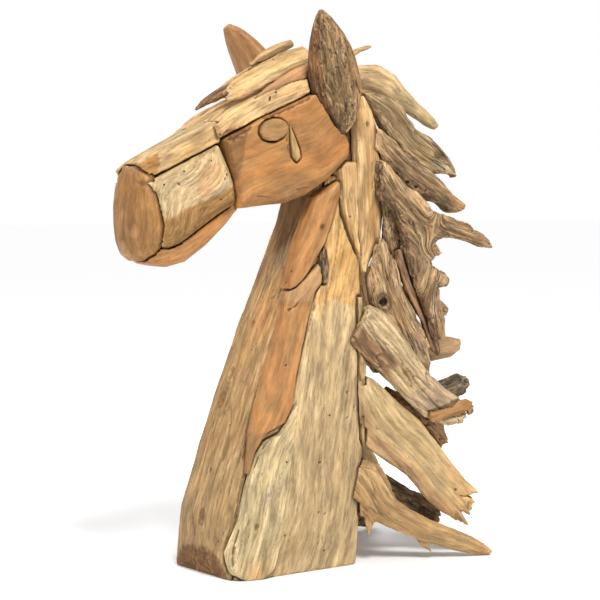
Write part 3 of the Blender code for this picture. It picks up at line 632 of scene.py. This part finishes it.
def show_ear(skin):
    """A flat, deeply pitted face inside smooth bevelled edges."""
    face = ramp(np.abs(skin.off_middle), 0.78, 0.6) * ramp(skin.normals @ (-0.6, -0.8, 0), 0.3, 0.6)
    swirl = layered(skin.grain / (26, 9, 9), skin.seed + SWIRL_SEED)
    pits = ramp(layered(skin.grain / (13, 7, 7), skin.seed + PIT_SEED), 0.05, 0.4)
    skin.press(face * (2.4 + 1.8 * swirl + 2.4 * pits))
    skin.stain("94754f", 0.7 * face)
    skin.dirt_and_shade = np.maximum(skin.dirt_and_shade * face, face * pits * 0.3)
    skin.stain("93714a", 0.85 * (1 - face))
    # Painted shade: the faces turned towards the nose side are stained dark brown.
    skin.stain("643f1f", 0.85 * ramp(skin.normals @ (-0.9, 0.3, 0), 0.2, 0.55))


def show_chest(skin):
    """Dark brown at the top, a painted shadow under the head, beige near the floor, with four knots and a saw
    cut at the toe.
    """
    x, y, z = skin.mm.T
    # Painted shadow under the head: the top of the chest is stained dark brown.
    high = ramp(z + skin.wavy(40, 40, 2), 440, 560)
    skin.stain("70502f", 0.9 * high)
    skin.stain("a2957e", 0.6 * skin.near((29, -4, 498), 26, 2) * (1 + skin.wavy(9, 0.8)))
    skin.stain("b27b47", 0.85 * skin.near((-4, -24, 408), 60, 2.0))
    skin.stain("6d3f22", 0.8 * skin.near((-17, 5, 396), 16, 1.8) * (1 + skin.wavy(8, 0.6)))
    skin.stain("a5875f", 0.75 * ramp(z + skin.wavy(50, 60, 2), 230, 110))
    knots = (((-49, 18, 317), 9), ((-67, 21, 274), 12), ((-131, -17, 94), 11), ((-107, -6, 166), 4))
    for spot, radius in knots:
        skin.knot(spot, radius)
    skin.stain("5e4b36", 0.7 * skin.near((-132, -39, 72), 10, 1.6))
    skin.crack([(5, -67, 481), (3, -20, 440)], 2, 2)
    cut = 4000 * (x + 124) + 280 * (y - 20) + 1500 * z
    sawn = ramp(cut, 17000, 14000)
    skin.stain("7c5835", sawn)
    skin.dirt_and_shade *= 1 - sawn


def show_side_log(skin):
    """Fresh yellow-orange wood above a ragged border, and beige weathered wood below it."""
    x, z = skin.mm[:, 0], skin.mm[:, 2]
    border = z - 428 + skin.wavy(26, 30) + 0.25 * (x - 60)
    fresh = ramp(border, -10, 8)
    skin.stain("cc9e60", 0.92 * fresh)
    skin.stain("bf8c4e", 0.6 * fresh * ramp(skin.wavy(34, 1.0, 1.4), 0.05, 0.5))
    skin.stain("e3c891", 0.45 * ramp(np.abs(border + 6), 12, 3))
    skin.stain("dfc598", 0.6 * (1 - fresh) * ramp(skin.wavy(48, 1.0, 3), -0.2, 0.4))
    skin.dirt_and_shade *= 1 - 0.75 * fresh
    if skin.node == "side_log_left":
        for spot, radius in (((104, -91, 286), 3.2), ((118, -92, 261), 2.4), ((103, -92, 245), 2.6),
                             ((48, -94, 175), 2.8), ((44, -96, 94), 2.6), ((56, -97, 92), 2.6),
                             ((-23, -97, 64), 3.0), ((90, -90, 372), 2.2)):
            skin.hole(spot, radius)
        skin.crack([(41, -84, 437), (41, -85, 425)], 4, 6)
        skin.crack([(41, -85, 425), (26, -86, 387)], 2, 3)


def show_strap(skin):
    skin.knot((62, -80, 557), 4, "8a5a30")
    skin.stain("c08048", 0.5 * ramp(skin.wavy(40, 1.0, 2), 0.1, 0.5))


def show_strip(skin):
    """Beige and orange above a break, orange with a pink heart below it."""
    z = skin.mm[:, 2]
    skin.stain("d0a674", 0.7 * ramp(z + skin.wavy(12, 5), 428, 440))
    skin.stain("c08a62", 0.6 * skin.near((-8, -80, 340), 14, 5))
    skin.crack([(20, -79, 441), (10, -78, 430), (-2, -76, 424)], 2.4, 3)
    skin.hole((-13, -85, 337), 2.4)
    skin.stain("95714a", 0.85 * ramp(z + skin.wavy(12, 5), 236, 222))


def show_sliver(skin):
    skin.stain("94836f", 0.9 * skin.near((-57, -98, 126), 15, 3.2) * (1 + skin.wavy(12, 0.7)))
    skin.stain("c8955a", 0.8 * skin.near((-80, -98, 10), 30, 1.2))
    skin.knot((-78, -96, 85), 5, "a8895c")
    skin.crack([(-24, -93, 239), (-51, -90, 222), (-80, -87, 176)], 3, 3)
    skin.crack([(-119, -90, 28), (-114, -88, 58), (-108, -88, 80)], 3.4, 4)


def show_post_back(skin):
    side = 1 if skin.node.endswith("right") else -1
    skin.stain("c98f50", 0.5 * ramp(skin.wavy(20, 1.0, 3), 0.0, 0.5))
    for low, high in ((645, 662), (620, 630)):
        skin.crack([(163, side * 83, low), (162, side * 83, high)], 2, 2)
    skin.knot((150, side * 83, 725), 4, "8a5a30")


def show_pale_log(skin):
    """Cream above, a brown fibrous band below it, a swirled knot and worm holes."""
    along, across = skin.grain[:, 0], skin.off_middle
    band = ramp(across + skin.wavy(24, 0.3, 3), 0.0, 0.35) * ramp(along + skin.wavy(20, 8), 0, -26)
    skin.stain("80593a", 0.92 * band)
    skin.soil_and_shade(0.6 * band * ramp(skin.wavy(5, 1.0, 9), 0.1, 0.4))
    skin.stain("b0957a", 0.8 * ramp(along + skin.wavy(30, 10), 0, 40))
    skin.knot((200, -125, 316), 8, "c49a68")
    skin.crack([(186, -120, 312), (204, -124, 306), (212, -126, 322)], 2, 2)
    for spot, radius in (((204, -125, 301), 3.4), ((244, -137, 275), 3.4)):
        skin.hole(spot, radius, 6)


def show_knotty_log(skin):
    skin.stain("c3a273", 0.85 * skin.near((177, -98, 502), 30, 1.5))
    skin.knot((176, -93, 431), 14, "6e5136")
    skin.hole((176, -93, 431), 8, 6)
    skin.knot((243, -104, 403), 9, "6f5f45")
    skin.hole((243, -104, 403), 4, 4)


def show_antler(skin):
    """Flowing grain that turns into the branch, with long dark cracks down the trunk."""
    skin.stain("c39a6c", 0.55 * ramp(skin.wavy(16, 1.0, 6), 0.0, 0.4))
    skin.stain("6b4c34", 0.75 * ramp(skin.off_middle + skin.wavy(24, 0.3, 3), 0.35, 0.7))
    skin.crack([(213, -119, 585), (220, -120, 556), (231, -122, 532), (228, -120, 505)], 3, 4)
    skin.crack([(240, -121, 556), (262, -124, 548)], 2.4, 3)
    skin.crack([(196, -114, 622), (204, -116, 590), (214, -118, 560)], 2.4, 3)


def show_broad_plank(skin):
    """Golden above, purple-brown along the underside, and orange fibres at the torn end."""
    skin.stain("a27a58", 0.8 * ramp(skin.off_middle + skin.wavy(24, 0.3, 3), 0.25, 0.7))
    skin.stain("cd9c66", 0.7 * ramp(skin.mm[:, 0] + skin.wavy(16, 14, 3), 262, 300))
    skin.stain("b9a57c", 0.6 * skin.near((150, -98, 280), 44) * (1 + skin.wavy(12, 0.8)))
    skin.hole((296, -139, 112), 4, 4)


def show_foot(skin):
    """Dark streaks and one long crack, with an orange tip."""
    skin.stain("b98653", 0.8 * ramp(skin.mm[:, 0] + skin.wavy(14, 5), 318, 330))
    skin.crack([(200, -118, 76), (240, -132, 56), (276, -146, 40)], 2.2, 3)
    skin.stain("8a6a48", 0.6 * ramp(skin.wavy(14, 1.0, 5), 0.15, 0.5))


def show_upper_plank(skin):
    """Tan top and orange tip, with a purple-brown, eaten hollow between."""
    x = skin.mm[:, 0]
    skin.stain("7c5d45", 0.85 * ramp(skin.off_middle + skin.wavy(16, 0.5, 2), -0.1, 0.3) * ramp(x, 300, 270))
    skin.stain("c99a62", 0.85 * ramp(x + skin.wavy(14, 8, 2), 300, 318))
    skin.stain("c8a273", 0.8 * ramp(x + skin.wavy(14, 8, 2), 212, 196))
    for spot in ((208, -84, 642), (226, -92, 628), (244, -94, 622), (262, -96, 616)):
        skin.hole(spot, 5, 5)


def show_hook(skin):
    """The tip is a thin blade over a dark hollow."""
    x, y, z = skin.mm.T
    inside = ramp(y + 58 + 0.15 * (x - 120) + 11, -1.5, 0.5) * skin.near((299, -91, 674), 40)
    skin.stain("4f3d2a", inside)
    skin.stain("7a6040", 0.7 * ramp(skin.off_middle + skin.wavy(16, 0.3, 2), 0.5, 0.85))
    skin.stain("d8c8a4", 0.8 * skin.near((300, -95, 655), 20, 1.6) * (1 - inside))


def show_crest(skin):
    x = skin.mm[:, 0]
    skin.stain("dcae84", 0.6 * skin.near((185, -50, 800), 40))
    skin.stain("b5a06c", 0.5 * ramp(x + skin.wavy(20, 12, 2), 225, 255))
    skin.crack([(176, -52, 792), (210, -54, 785), (250, -55, 770), (300, -56, 738)], 1.8, 2.5)


SHOWS = {
    "cheek_left": show_cheek, "cheek_right": show_cheek, "brow_left": show_brow, "nose_block": show_nose,
    "muzzle_left": show_muzzle, "muzzle_right": show_muzzle, "nose_bridge_left": show_bridge,
    "nose_bridge_right": show_bridge, "ear_left": show_ear, "chest_log": show_chest,
    "side_log_left": show_side_log, "side_log_right": show_side_log, "throat_strap_left": show_strap,
    "throat_strap_right": show_strap, "long_strip": show_strip, "pale_sliver": show_sliver,
    "post_back_left": show_post_back, "post_back_right": show_post_back, "mane_pale_log": show_pale_log,
    "mane_knotty_log": show_knotty_log, "mane_antler_root": show_antler, "mane_broad_plank": show_broad_plank,
    "mane_foot_branch": show_foot, "mane_upper_plank": show_upper_plank, "mane_hooked_plank": show_hook,
    "mane_crest": show_crest,
}
# Where a piece's wood leans to a colour of its own, and how far.
HUES = {
    "chest_log": ("b38550", 0.6), "side_log_left": ("dabf92", 0.6), "side_log_right": ("dabf92", 0.6),
    "pale_sliver": ("ead3a0", 0.7), "nape_block": ("6b4c30", 0.6), "edge_slat": ("c49d68", 0.5),
    "muzzle_left": ("ceb489", 0.5), "muzzle_right": ("ceb489", 0.5), "eye_left": ("c59b65", 0.6),
    "eye_right": ("c59b65", 0.6), "eye_corner_left": ("b08c5c", 0.8), "ear_right": ("bb8c5a", 0.6),
    "forelock_red_left": ("cf9a6c", 0.7), "forelock_strip": ("86583c", 0.4), "forelock_top": ("b98f62", 0.5),
    "crest_twig": ("a98a62", 0.5), "mane_hooked_plank": ("ab946a", 0.6), "mane_upper_plank": ("ba9871", 0.4),
    "mane_pale_log": ("d8bc94", 0.5), "mane_broad_plank": ("e4c994", 0.6),
    "mane_foot_branch": ("c49c66", 0.5), "mane_dark_root": ("8d7556", 0.5),
    "mane_stub_upper": ("b89a6b", 0.6), "mane_stub_orange": ("c5a57a", 0.75),
    "mane_split_end": ("b98a4e", 0.6), "mane_gnarled_end": ("a39880", 0.65), "mane_bark_stub": ("b58b60", 0.8),
}
# Branches that leave the trunk: fork, tip, and how far past the fork the grain has turned.
BRANCHES = {"mane_antler_root": ((236, -112, 562), (362, -137, 522), 45)}

# Wood: width of its squares, rounds of easing, and its nodes with their strength of relief.
PIECES = {
    "sanded_heartwood": (2.3, 17, {
        "cheek_left": 1, "cheek_right": 1, "lower_jaw": 1, "eye_left": 0.4, "eye_right": 0.4}),
    "orange_heartwood": (2.3, 8, {
        "nose_block": 1, "long_strip": 1, "throat_strap_left": 1, "throat_strap_right": 1, "ear_right": 1,
        "forelock_red_left": 1.6, "mane_stub_orange": 1.3, "mane_split_end": 2}),
    "golden_plank": (2.3, 7, {
        "brow_left": 0.8, "brow_right": 0.8, "post_front_left": 1, "post_front_right": 1,
        "post_back_left": 0.8, "post_back_right": 0.8, "mane_broad_plank": 1.5, "mane_foot_branch": 1.3,
        "mane_far_crest": 1.4, "mane_far_plank": 1.6}),
    "bleached_wood": (2.2, 8, {
        "muzzle_left": 0.5, "muzzle_right": 0.5, "pale_sliver": 1, "mane_crest": 1.2, "mane_pale_log": 1.3,
        "mane_far_log": 1.3}),
    "weathered_log": (3.0, 6, {
        "chest_log": 1, "side_log_left": 0.8, "side_log_right": 0.8, "nose_bridge_left": 0.7,
        "nose_bridge_right": 0.7, "edge_slat": 0.8, "forelock_pale_left": 1.3, "forelock_pale_right": 1.3,
        "forelock_top": 1.1, "eye_corner_left": 0.5, "eye_corner_right": 0.5, "crest_twig": 1,
        "mane_far_fork": 1.4}),
    "grey_driftwood": (2.0, 6, {
        "ear_left": 0.2, "mane_hooked_plank": 0.6, "mane_antler_root": 0.9, "mane_upper_plank": 0.8,
        "mane_knotty_log": 1.1, "mane_stub_upper": 0.8, "mane_far_hook": 0.8, "mane_far_knotty": 1.1}),
    "root_bark": (2.3, 6, {
        "mane_grey_knot": 0.8, "mane_dark_root": 0.9, "mane_gnarled_end": 1, "mane_bark_stub": 0.8,
        "grey_chip": 0.4, "mane_far_root": 0.9}),
    "red_brown_heartwood": (2.3, 6, {
        "forelock_strip": 1.2, "mane_red_strip": 1, "nape_block": 0.6}),
}
# Width of the squares where it is not the wood's own: finer on small pieces, wider out of sight.
OWN_STEP = {
    "eye_left": 1.3, "eye_right": 1.5, "eye_corner_left": 1.3, "eye_corner_right": 1.5, "grey_chip": 1.5,
    "forelock_pale_left": 1.9, "forelock_top": 1.7, "nose_bridge_left": 2.2, "ear_left": 1.8,
    "forelock_pale_right": 2.8, "side_log_right": 4.4, "nape_block": 4.2, "nose_bridge_right": 3.2,
    "mane_far_hook": 2.9, "mane_far_knotty": 3.1, "mane_far_root": 3.1, "mane_far_plank": 3.2,
    "mane_far_log": 3.2, "cheek_right": 3.6, "brow_right": 3.2, "muzzle_right": 3.2,
    "throat_strap_right": 3.2, "post_front_right": 3.2, "post_back_right": 3.2, "mane_far_crest": 3.2,
    "mane_far_fork": 3.2,
}
# Torn ends: how far the tear reaches up the piece and how deep the longest gap is.
TORN = {
    "forelock_pale_left": (34, 14, -1), "forelock_pale_right": (34, 14, -1), "forelock_red_left": (22, 9, -1),
    "forelock_strip": (20, 9, -1), "mane_broad_plank": (50, 22, 1), "mane_far_plank": (50, 26, 1),
    "mane_gnarled_end": (20, 7, 1), "mane_split_end": (24, 10, 1), "mane_bark_stub": (20, 9, 1),
    "mane_stub_orange": (14, 5, 1), "mane_crest": (16, 5, 1), "mane_pale_log": (18, 7, 1),
    "mane_dark_root": (24, 12, 1), "mane_far_root": (24, 12, 1),
}


def build_pieces():
    """Make every piece of every wood."""
    for wood_name, (step, rounds, nodes) in PIECES.items():
        for node, strength in nodes.items():
            skin = Skin(node, OWN_STEP.get(node, step), rounds)
            if node in BRANCHES:
                skin.turn_grain(*BRANCHES[node])
            if node in HUES:
                skin.stain(*HUES[node])
            skin.work(WOODS[wood_name], strength)
            if node in SHOWS:
                SHOWS[node](skin)
            if node in TORN:
                skin.tear(*TORN[node])
            skin.finish(wood_name)


# Studio.
FLOOR_HALF = 30.0           # metres
FLOOR_WHITE = (0.96, 0.96, 0.965, 1)
FLOOR_LIT = 0.32            # from here out the floor glows more and more, in metres
FLOOR_GLOW = 0.01           # its glow within that
ROOM_GLOW = 0.54            # light of the white room on the wood
LAMP_AIM = Vector((0.05, 0, 0.45))
# Lamps: turn from square-on to the left side, rise, distance, size and watts.
LAMPS = {"key_light": (-20, 52, 2.6, 0.7, 64), "rim_light": (-135, 45, 2.8, 1.0, 30)}


def build_floor():
    """White floor that glows away from the sculpture, so that it meets the room without an edge."""
    floor_data = bpy.data.meshes.new("studio_floor")
    corners = [(x * FLOOR_HALF, y * FLOOR_HALF, 0) for x, y in ((-1, -1), (1, -1), (1, 1), (-1, 1))]
    floor_data.from_pydata(corners, [], [(0, 1, 2, 3)])
    floor = bpy.data.objects.new("studio_floor", floor_data)
    scene.collection.objects.link(floor)
    paint = bpy.data.materials.new("studio_floor_paint")
    paint.use_nodes = True
    tree = paint.node_tree
    shader = tree.nodes["Principled BSDF"]
    shader.inputs["Base Color"].default_value = FLOOR_WHITE
    shader.inputs["Roughness"].default_value = 0.95
    shader.inputs["Specular IOR Level"].default_value = 0
    place = add(tree, "ShaderNodeTexCoord", {}).outputs["Object"]
    away = add(tree, "ShaderNodeVectorMath", {0: place}, operation="LENGTH").outputs["Value"]
    glow = mapped(tree, away, FLOOR_LIT, 3 * FLOOR_LIT, FLOOR_GLOW, 1.0 - ROOM_GLOW)
    shader.inputs["Emission Color"].default_value = (1, 1, 1, 1)
    tree.links.new(glow, shader.inputs["Emission Strength"])
    floor_data.materials.append(paint)


def build_room():
    """Room that the camera sees as plain white, while it lights the wood less."""
    room = bpy.data.worlds.new("white_room")
    room.use_nodes = True
    tree = room.node_tree
    seen = add(tree, "ShaderNodeLightPath", {}).outputs["Is Camera Ray"]
    tree.nodes["Background"].inputs["Color"].default_value = (1, 1, 1, 1)
    tree.links.new(mapped(tree, seen, 0, 1, ROOM_GLOW, 1.0), tree.nodes["Background"].inputs["Strength"])
    scene.world = room
    scene.view_settings.view_transform = "Standard"


def build_lamps():
    """A key lamp to the upper right of the camera, and a weaker one behind the nose."""
    for name, (turn, rise, away, size, power) in LAMPS.items():
        light = bpy.data.lights.new(name, "AREA")
        light.size = size
        light.energy = power
        lamp = bpy.data.objects.new(name, light)
        scene.collection.objects.link(lamp)
        turn, rise = math.radians(turn), math.radians(rise)
        back = Vector((math.sin(turn) * math.cos(rise), -math.cos(turn) * math.cos(rise), math.sin(rise)))
        lamp.location = LAMP_AIM + away * back
        lamp.rotation_euler = back.to_track_quat("Z", "Y").to_euler()


def build_camera():
    """Camera of the photograph."""
    lens = bpy.data.cameras.new("camera")
    lens.sensor_width = SENSOR
    lens.lens = SENSOR * FOCAL_PIXELS / PHOTO_WIDTH
    camera = bpy.data.objects.new("camera", lens)
    scene.collection.objects.link(camera)
    camera.location = CAMERA_SPOT
    ahead = Vector((math.sin(CAMERA_TURN) * math.cos(CAMERA_TILT),
                    math.cos(CAMERA_TURN) * math.cos(CAMERA_TILT), -math.sin(CAMERA_TILT)))
    camera.rotation_euler = ahead.to_track_quat("-Z", "Y").to_euler()
    scene.camera = camera


build_pieces()
build_floor()
build_room()
build_lamps()
build_camera()
